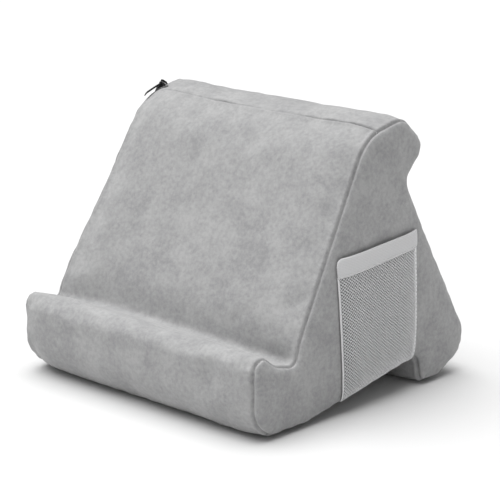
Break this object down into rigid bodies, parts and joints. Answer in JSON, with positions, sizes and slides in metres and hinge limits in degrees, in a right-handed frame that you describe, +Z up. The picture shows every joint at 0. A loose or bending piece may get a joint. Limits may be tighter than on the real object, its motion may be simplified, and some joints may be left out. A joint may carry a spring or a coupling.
{
  "type": "tablet cushion stand",
  "caption": "Padded wedge stand with a groove in its front, back and underside, in a grey plush cover with a zip in one end and a mesh pocket on the other.",
  "frame": {"origin": "on the floor, under the flat of the front edge, midway between the two ends", "axes": "+X towards the end with the mesh pocket, +Y from the front lip towards the back, +Z up"},
  "size_m": [0.3063, 0.2819, 0.2487],
  "materials": {
    "foam": "open-cell polyurethane foam",
    "plush": "short-pile velvet plush",
    "netting": "knitted polyester mesh",
    "elastic": "woven elastic tape",
    "zip_nylon": "woven tape and nylon coil",
    "zip_metal": "black enamel"
  },
  "bodies": {
    "cover": {"foam_core": "foam", "front_panel": "plush", "base_panel": "plush", "back_panel": "plush", "left_gusset": "plush", "right_gusset": "plush", "pocket_mesh": "netting", "pocket_band": "elastic", "zip_tape_front": "zip_nylon", "zip_tape_rear": "zip_nylon", "zip_tail": "zip_nylon", "zip_coil_front": "zip_nylon", "zip_coil_rear": "zip_nylon", "zip_top_stop": "zip_metal", "zip_bottom_stop": "zip_metal"},
    "slider": {"zip_slider": "zip_metal"},
    "pull": {"zip_pull": "zip_metal"}
  },
  "joints": [
    {"name": "zip_slide", "type": "slide", "parent": "cover", "child": "slider", "axis": [-0.0296, -0.5297, -0.8477], "range_m": [0, 0.174]},
    {"name": "pull_swing", "type": "hinge", "parent": "slider", "child": "pull", "pos_m": [-0.14648, 0.13235, 0.23553], "axis": [-0.0185, 0.8482, -0.5294], "range_deg": [0, 170]}
  ]
}
